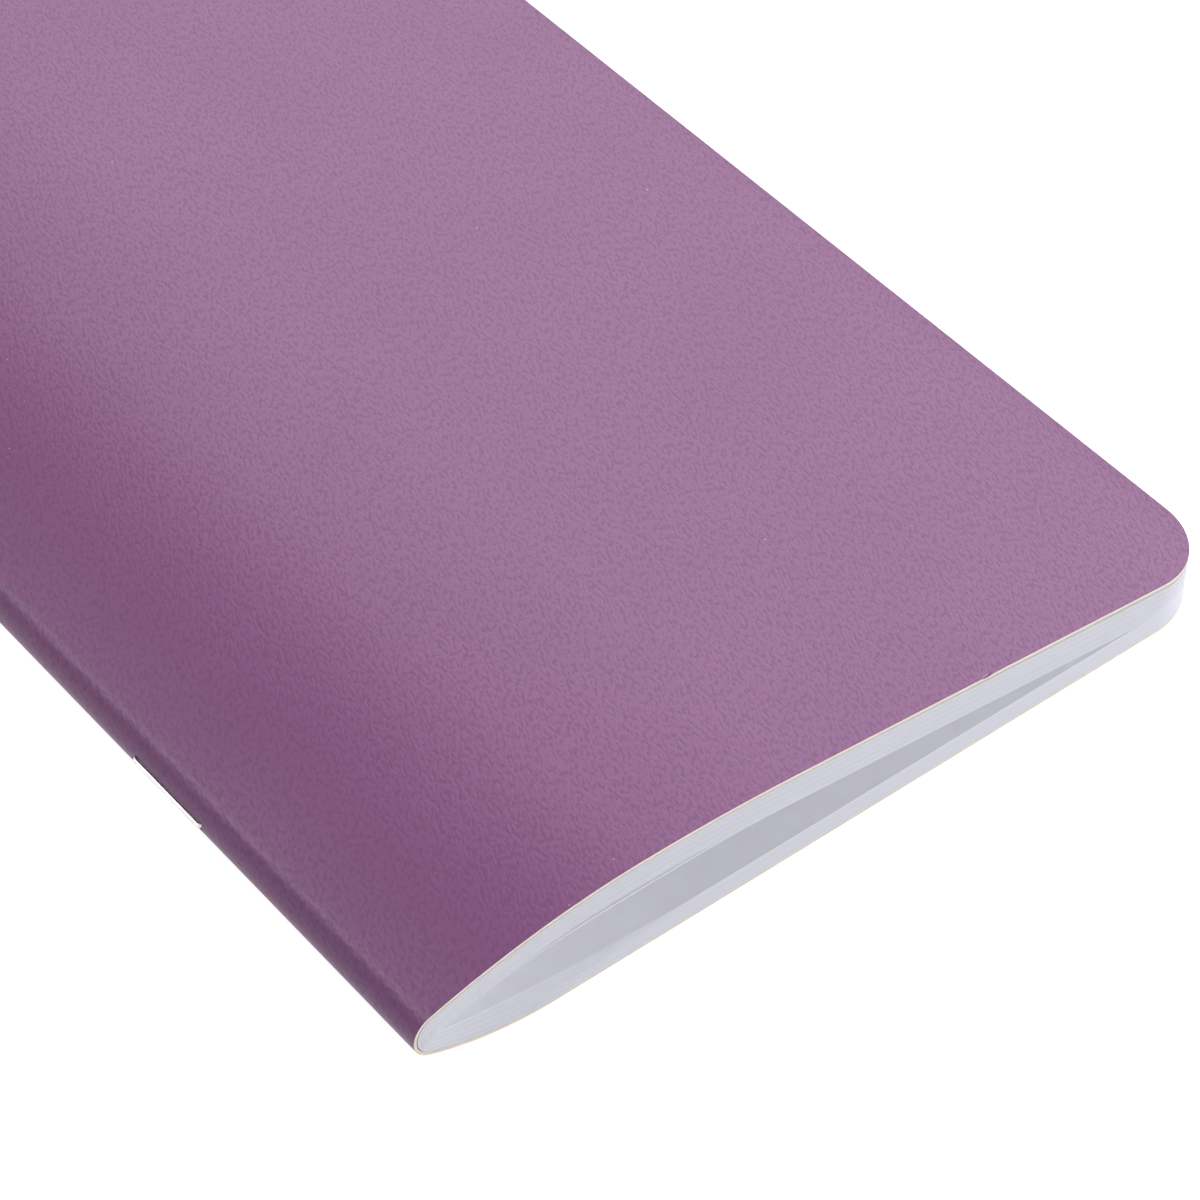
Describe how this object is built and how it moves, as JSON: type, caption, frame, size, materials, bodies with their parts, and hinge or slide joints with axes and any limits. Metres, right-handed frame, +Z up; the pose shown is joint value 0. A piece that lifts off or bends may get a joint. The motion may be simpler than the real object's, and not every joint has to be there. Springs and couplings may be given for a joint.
{
  "type": "stapled exercise book",
  "caption": "Slim stapled exercise book with an embossed card cover, rounded fore-edge corners and folded paper sheets; opens flat at the centre spread.",
  "frame": {"origin": "middle of the closed book's footprint, on the surface it lies on", "axes": "+X from the spine to the fore-edge, +Y along the spine from tail to head, +Z up"},
  "size_m": [0.1104, 0.17, 0.0135],
  "materials": {
    "cover_card": "purple card with a leather-grain emboss, cream core",
    "page_paper": "uncoated white",
    "staple_wire": "bright galvanised wire"
  },
  "bodies": {
    "back_cover": {"back_cover": "cover_card", "cover_spine": "cover_card", "sheet_folds": "page_paper"},
    "front_cover": {"front_cover": "cover_card"},
    "staples": {"staples": "staple_wire"},
    "leaf_01": {"leaf_01": "page_paper"},
    "leaf_02": {"leaf_02": "page_paper"},
    "leaf_03": {"leaf_03": "page_paper"},
    "leaf_04": {"leaf_04": "page_paper"},
    "leaf_05": {"leaf_05": "page_paper"},
    "leaf_06": {"leaf_06": "page_paper"},
    "leaf_07": {"leaf_07": "page_paper"},
    "leaf_08": {"leaf_08": "page_paper"},
    "leaf_09": {"leaf_09": "page_paper"},
    "leaf_10": {"leaf_10": "page_paper"},
    "leaf_11": {"leaf_11": "page_paper"},
    "leaf_12": {"leaf_12": "page_paper"},
    "leaf_13": {"leaf_13": "page_paper"},
    "leaf_14": {"leaf_14": "page_paper"},
    "leaf_15": {"leaf_15": "page_paper"},
    "leaf_16": {"leaf_16": "page_paper"},
    "leaf_17": {"leaf_17": "page_paper"},
    "leaf_18": {"leaf_18": "page_paper"},
    "leaf_19": {"leaf_19": "page_paper"},
    "leaf_20": {"leaf_20": "page_paper"},
    "leaf_21": {"leaf_21": "page_paper"},
    "leaf_22": {"leaf_22": "page_paper"},
    "leaf_23": {"leaf_23": "page_paper"},
    "leaf_24": {"leaf_24": "page_paper"},
    "leaf_25": {"leaf_25": "page_paper"},
    "leaf_26": {"leaf_26": "page_paper"},
    "leaf_27": {"leaf_27": "page_paper"},
    "leaf_28": {"leaf_28": "page_paper"},
    "leaf_29": {"leaf_29": "page_paper"},
    "leaf_30": {"leaf_30": "page_paper"},
    "leaf_31": {"leaf_31": "page_paper"},
    "leaf_32": {"leaf_32": "page_paper"},
    "leaf_33": {"leaf_33": "page_paper"},
    "leaf_34": {"leaf_34": "page_paper"},
    "leaf_35": {"leaf_35": "page_paper"},
    "leaf_36": {"leaf_36": "page_paper"},
    "leaf_37": {"leaf_37": "page_paper"},
    "leaf_38": {"leaf_38": "page_paper"},
    "leaf_39": {"leaf_39": "page_paper"},
    "leaf_40": {"leaf_40": "page_paper"},
    "leaf_41": {"leaf_41": "page_paper"},
    "leaf_42": {"leaf_42": "page_paper"},
    "leaf_43": {"leaf_43": "page_paper"},
    "leaf_44": {"leaf_44": "page_paper"},
    "leaf_45": {"leaf_45": "page_paper"},
    "leaf_46": {"leaf_46": "page_paper"},
    "leaf_47": {"leaf_47": "page_paper"},
    "leaf_48": {"leaf_48": "page_paper"}
  },
  "joints": [
    {"name": "front_cover_hinge", "type": "hinge", "parent": "back_cover", "child": "front_cover", "pos_m": [-0.05176, 0, 0.00635], "axis": [0, -1, 0], "range_deg": [0, 175], "deforming": ["cover_spine", "sheet_folds"]},
    {"name": "staples_roll", "type": "hinge", "parent": "back_cover", "child": "staples", "pos_m": [-0.05176, 0, 0.00635], "axis": [0, -1, 0], "range_deg": [0, 87.55]},
    {"name": "leaf_25_turn", "type": "hinge", "parent": "back_cover", "child": "leaf_25", "pos_m": [-0.05176, 0, 0.00635], "axis": [0, -1, 0], "range_deg": [0, 10.55]},
    {"name": "leaf_24_turn", "type": "hinge", "parent": "leaf_25", "child": "leaf_24", "pos_m": [-0.05176, 0, 0.00635], "axis": [0, -1, 0], "range_deg": [0, 150.55]},
    {"name": "leaf_26_turn", "type": "hinge", "parent": "back_cover", "child": "leaf_26", "pos_m": [-0.05176, 0, 0.00635], "axis": [0, -1, 0], "range_deg": [0, 10.11]},
    {"name": "leaf_23_turn", "type": "hinge", "parent": "leaf_26", "child": "leaf_23", "pos_m": [-0.05176, 0, 0.00635], "axis": [0, -1, 0], "range_deg": [0, 151.56]},
    {"name": "leaf_27_turn", "type": "hinge", "parent": "back_cover", "child": "leaf_27", "pos_m": [-0.05176, 0, 0.00635], "axis": [0, -1, 0], "range_deg": [0, 9.68]},
    {"name": "leaf_22_turn", "type": "hinge", "parent": "leaf_27", "child": "leaf_22", "pos_m": [-0.05176, 0, 0.00635], "axis": [0, -1, 0], "range_deg": [0, 152.57]},
    {"name": "leaf_28_turn", "type": "hinge", "parent": "back_cover", "child": "leaf_28", "pos_m": [-0.05176, 0, 0.00635], "axis": [0, -1, 0], "range_deg": [0, 9.24]},
    {"name": "leaf_21_turn", "type": "hinge", "parent": "leaf_28", "child": "leaf_21", "pos_m": [-0.05176, 0, 0.00635], "axis": [0, -1, 0], "range_deg": [0, 153.57]},
    {"name": "leaf_29_turn", "type": "hinge", "parent": "back_cover", "child": "leaf_29", "pos_m": [-0.05176, 0, 0.00635], "axis": [0, -1, 0], "range_deg": [0, 8.8]},
    {"name": "leaf_20_turn", "type": "hinge", "parent": "leaf_29", "child": "leaf_20", "pos_m": [-0.05176, 0, 0.00635], "axis": [0, -1, 0], "range_deg": [0, 154.58]},
    {"name": "leaf_30_turn", "type": "hinge", "parent": "back_cover", "child": "leaf_30", "pos_m": [-0.05176, 0, 0.00635], "axis": [0, -1, 0], "range_deg": [0, 8.36]},
    {"name": "leaf_19_turn", "type": "hinge", "parent": "leaf_30", "child": "leaf_19", "pos_m": [-0.05176, 0, 0.00635], "axis": [0, -1, 0], "range_deg": [0, 155.59]},
    {"name": "leaf_31_turn", "type": "hinge", "parent": "back_cover", "child": "leaf_31", "pos_m": [-0.05176, 0, 0.00635], "axis": [0, -1, 0], "range_deg": [0, 7.92]},
    {"name": "leaf_18_turn", "type": "hinge", "parent": "leaf_31", "child": "leaf_18", "pos_m": [-0.05176, 0, 0.00635], "axis": [0, -1, 0], "range_deg": [0, 156.6]},
    {"name": "leaf_32_turn", "type": "hinge", "parent": "back_cover", "child": "leaf_32", "pos_m": [-0.05176, 0, 0.00635], "axis": [0, -1, 0], "range_deg": [0, 7.49]},
    {"name": "leaf_17_turn", "type": "hinge", "parent": "leaf_32", "child": "leaf_17", "pos_m": [-0.05176, 0, 0.00635], "axis": [0, -1, 0], "range_deg": [0, 157.61]},
    {"name": "leaf_33_turn", "type": "hinge", "parent": "back_cover", "child": "leaf_33", "pos_m": [-0.05176, 0, 0.00635], "axis": [0, -1, 0], "range_deg": [0, 7.05]},
    {"name": "leaf_16_turn", "type": "hinge", "parent": "leaf_33", "child": "leaf_16", "pos_m": [-0.05176, 0, 0.00635], "axis": [0, -1, 0], "range_deg": [0, 158.62]},
    {"name": "leaf_34_turn", "type": "hinge", "parent": "back_cover", "child": "leaf_34", "pos_m": [-0.05176, 0, 0.00635], "axis": [0, -1, 0], "range_deg": [0, 6.61]},
    {"name": "leaf_15_turn", "type": "hinge", "parent": "leaf_34", "child": "leaf_15", "pos_m": [-0.05176, 0, 0.00635], "axis": [0, -1, 0], "range_deg": [0, 159.62]},
    {"name": "leaf_35_turn", "type": "hinge", "parent": "back_cover", "child": "leaf_35", "pos_m": [-0.05176, 0, 0.00635], "axis": [0, -1, 0], "range_deg": [0, 6.18]},
    {"name": "leaf_14_turn", "type": "hinge", "parent": "leaf_35", "child": "leaf_14", "pos_m": [-0.05176, 0, 0.00635], "axis": [0, -1, 0], "range_deg": [0, 160.63]},
    {"name": "leaf_36_turn", "type": "hinge", "parent": "back_cover", "child": "leaf_36", "pos_m": [-0.05176, 0, 0.00635], "axis": [0, -1, 0], "range_deg": [0, 5.74]},
    {"name": "leaf_13_turn", "type": "hinge", "parent": "leaf_36", "child": "leaf_13", "pos_m": [-0.05176, 0, 0.00635], "axis": [0, -1, 0], "range_deg": [0, 161.64]},
    {"name": "leaf_37_turn", "type": "hinge", "parent": "back_cover", "child": "leaf_37", "pos_m": [-0.05176, 0, 0.00635], "axis": [0, -1, 0], "range_deg": [0, 5.3]},
    {"name": "leaf_12_turn", "type": "hinge", "parent": "leaf_37", "child": "leaf_12", "pos_m": [-0.05176, 0, 0.00635], "axis": [0, -1, 0], "range_deg": [0, 162.65]},
    {"name": "leaf_38_turn", "type": "hinge", "parent": "back_cover", "child": "leaf_38", "pos_m": [-0.05176, 0, 0.00635], "axis": [0, -1, 0], "range_deg": [0, 4.86]},
    {"name": "leaf_11_turn", "type": "hinge", "parent": "leaf_38", "child": "leaf_11", "pos_m": [-0.05176, 0, 0.00635], "axis": [0, -1, 0], "range_deg": [0, 163.66]},
    {"name": "leaf_39_turn", "type": "hinge", "parent": "back_cover", "child": "leaf_39", "pos_m": [-0.05176, 0, 0.00635], "axis": [0, -1, 0], "range_deg": [0, 4.42]},
    {"name": "leaf_10_turn", "type": "hinge", "parent": "leaf_39", "child": "leaf_10", "pos_m": [-0.05176, 0, 0.00635], "axis": [0, -1, 0], "range_deg": [0, 164.66]},
    {"name": "leaf_40_turn", "type": "hinge", "parent": "back_cover", "child": "leaf_40", "pos_m": [-0.05176, 0, 0.00635], "axis": [0, -1, 0], "range_deg": [0, 3.99]},
    {"name": "leaf_09_turn", "type": "hinge", "parent": "leaf_40", "child": "leaf_09", "pos_m": [-0.05176, 0, 0.00635], "axis": [0, -1, 0], "range_deg": [0, 165.67]},
    {"name": "leaf_41_turn", "type": "hinge", "parent": "back_cover", "child": "leaf_41", "pos_m": [-0.05176, 0, 0.00635], "axis": [0, -1, 0], "range_deg": [0, 3.55]},
    {"name": "leaf_08_turn", "type": "hinge", "parent": "leaf_41", "child": "leaf_08", "pos_m": [-0.05176, 0, 0.00635], "axis": [0, -1, 0], "range_deg": [0, 166.68]},
    {"name": "leaf_42_turn", "type": "hinge", "parent": "back_cover", "child": "leaf_42", "pos_m": [-0.05176, 0, 0.00635], "axis": [0, -1, 0], "range_deg": [0, 3.11]},
    {"name": "leaf_07_turn", "type": "hinge", "parent": "leaf_42", "child": "leaf_07", "pos_m": [-0.05176, 0, 0.00635], "axis": [0, -1, 0], "range_deg": [0, 167.69]},
    {"name": "leaf_43_turn", "type": "hinge", "parent": "back_cover", "child": "leaf_43", "pos_m": [-0.05176, 0, 0.00635], "axis": [0, -1, 0], "range_deg": [0, 2.67]},
    {"name": "leaf_06_turn", "type": "hinge", "parent": "leaf_43", "child": "leaf_06", "pos_m": [-0.05176, 0, 0.00635], "axis": [0, -1, 0], "range_deg": [0, 168.7]},
    {"name": "leaf_44_turn", "type": "hinge", "parent": "back_cover", "child": "leaf_44", "pos_m": [-0.05176, 0, 0.00635], "axis": [0, -1, 0], "range_deg": [0, 2.24]},
    {"name": "leaf_05_turn", "type": "hinge", "parent": "leaf_44", "child": "leaf_05", "pos_m": [-0.05176, 0, 0.00635], "axis": [0, -1, 0], "range_deg": [0, 169.71]},
    {"name": "leaf_45_turn", "type": "hinge", "parent": "back_cover", "child": "leaf_45", "pos_m": [-0.05176, 0, 0.00635], "axis": [0, -1, 0], "range_deg": [0, 1.8]},
    {"name": "leaf_04_turn", "type": "hinge", "parent": "leaf_45", "child": "leaf_04", "pos_m": [-0.05176, 0, 0.00635], "axis": [0, -1, 0], "range_deg": [0, 170.71]},
    {"name": "leaf_46_turn", "type": "hinge", "parent": "back_cover", "child": "leaf_46", "pos_m": [-0.05176, 0, 0.00635], "axis": [0, -1, 0], "range_deg": [0, 1.36]},
    {"name": "leaf_03_turn", "type": "hinge", "parent": "leaf_46", "child": "leaf_03", "pos_m": [-0.05176, 0, 0.00635], "axis": [0, -1, 0], "range_deg": [0, 171.72]},
    {"name": "leaf_47_turn", "type": "hinge", "parent": "back_cover", "child": "leaf_47", "pos_m": [-0.05176, 0, 0.00635], "axis": [0, -1, 0], "range_deg": [0, 0.93]},
    {"name": "leaf_02_turn", "type": "hinge", "parent": "leaf_47", "child": "leaf_02", "pos_m": [-0.05176, 0, 0.00635], "axis": [0, -1, 0], "range_deg": [0, 172.73]},
    {"name": "leaf_48_turn", "type": "hinge", "parent": "back_cover", "child": "leaf_48", "pos_m": [-0.05176, 0, 0.00635], "axis": [0, -1, 0], "range_deg": [0, 0.49]},
    {"name": "leaf_01_turn", "type": "hinge", "parent": "leaf_48", "child": "leaf_01", "pos_m": [-0.05176, 0, 0.00635], "axis": [0, -1, 0], "range_deg": [0, 173.74]}
  ],
  "couplings": [
    {"joint": "staples_roll", "follows": "front_cover_hinge", "ratio": 0.5},
    {"joint": "leaf_25_turn", "follows": "front_cover_hinge", "ratio": 0.06},
    {"joint": "leaf_24_turn", "follows": "front_cover_hinge", "ratio": 0.86},
    {"joint": "leaf_26_turn", "follows": "front_cover_hinge", "ratio": 0.0575},
    {"joint": "leaf_23_turn", "follows": "front_cover_hinge", "ratio": 0.86576},
    {"joint": "leaf_27_turn", "follows": "front_cover_hinge", "ratio": 0.055},
    {"joint": "leaf_22_turn", "follows": "front_cover_hinge", "ratio": 0.87152},
    {"joint": "leaf_28_turn", "follows": "front_cover_hinge", "ratio": 0.0525},
    {"joint": "leaf_21_turn", "follows": "front_cover_hinge", "ratio": 0.87728},
    {"joint": "leaf_29_turn", "follows": "front_cover_hinge", "ratio": 0.05},
    {"joint": "leaf_20_turn", "follows": "front_cover_hinge", "ratio": 0.88304},
    {"joint": "leaf_30_turn", "follows": "front_cover_hinge", "ratio": 0.0475},
    {"joint": "leaf_19_turn", "follows": "front_cover_hinge", "ratio": 0.8888},
    {"joint": "leaf_31_turn", "follows": "front_cover_hinge", "ratio": 0.045},
    {"joint": "leaf_18_turn", "follows": "front_cover_hinge", "ratio": 0.89457},
    {"joint": "leaf_32_turn", "follows": "front_cover_hinge", "ratio": 0.0425},
    {"joint": "leaf_17_turn", "follows": "front_cover_hinge", "ratio": 0.90033},
    {"joint": "leaf_33_turn", "follows": "front_cover_hinge", "ratio": 0.04},
    {"joint": "leaf_16_turn", "follows": "front_cover_hinge", "ratio": 0.90609},
    {"joint": "leaf_34_turn", "follows": "front_cover_hinge", "ratio": 0.0375},
    {"joint": "leaf_15_turn", "follows": "front_cover_hinge", "ratio": 0.91185},
    {"joint": "leaf_35_turn", "follows": "front_cover_hinge", "ratio": 0.035},
    {"joint": "leaf_14_turn", "follows": "front_cover_hinge", "ratio": 0.91761},
    {"joint": "leaf_36_turn", "follows": "front_cover_hinge", "ratio": 0.0325},
    {"joint": "leaf_13_turn", "follows": "front_cover_hinge", "ratio": 0.92337},
    {"joint": "leaf_37_turn", "follows": "front_cover_hinge", "ratio": 0.03},
    {"joint": "leaf_12_turn", "follows": "front_cover_hinge", "ratio": 0.92913},
    {"joint": "leaf_38_turn", "follows": "front_cover_hinge", "ratio": 0.0275},
    {"joint": "leaf_11_turn", "follows": "front_cover_hinge", "ratio": 0.93489},
    {"joint": "leaf_39_turn", "follows": "front_cover_hinge", "ratio": 0.025},
    {"joint": "leaf_10_turn", "follows": "front_cover_hinge", "ratio": 0.94065},
    {"joint": "leaf_40_turn", "follows": "front_cover_hinge", "ratio": 0.0225},
    {"joint": "leaf_09_turn", "follows": "front_cover_hinge", "ratio": 0.94641},
    {"joint": "leaf_41_turn", "follows": "front_cover_hinge", "ratio": 0.02},
    {"joint": "leaf_08_turn", "follows": "front_cover_hinge", "ratio": 0.95217},
    {"joint": "leaf_42_turn", "follows": "front_cover_hinge", "ratio": 0.0175},
    {"joint": "leaf_07_turn", "follows": "front_cover_hinge", "ratio": 0.95793},
    {"joint": "leaf_43_turn", "follows": "front_cover_hinge", "ratio": 0.015},
    {"joint": "leaf_06_turn", "follows": "front_cover_hinge", "ratio": 0.9637},
    {"joint": "leaf_44_turn", "follows": "front_cover_hinge", "ratio": 0.0125},
    {"joint": "leaf_05_turn", "follows": "front_cover_hinge", "ratio": 0.96946},
    {"joint": "leaf_45_turn", "follows": "front_cover_hinge", "ratio": 0.01},
    {"joint": "leaf_04_turn", "follows": "front_cover_hinge", "ratio": 0.97522},
    {"joint": "leaf_46_turn", "follows": "front_cover_hinge", "ratio": 0.0075},
    {"joint": "leaf_03_turn", "follows": "front_cover_hinge", "ratio": 0.98098},
    {"joint": "leaf_47_turn", "follows": "front_cover_hinge", "ratio": 0.005},
    {"joint": "leaf_02_turn", "follows": "front_cover_hinge", "ratio": 0.98674},
    {"joint": "leaf_48_turn", "follows": "front_cover_hinge", "ratio": 0.0025},
    {"joint": "leaf_01_turn", "follows": "front_cover_hinge", "ratio": 0.9925}
  ]
}
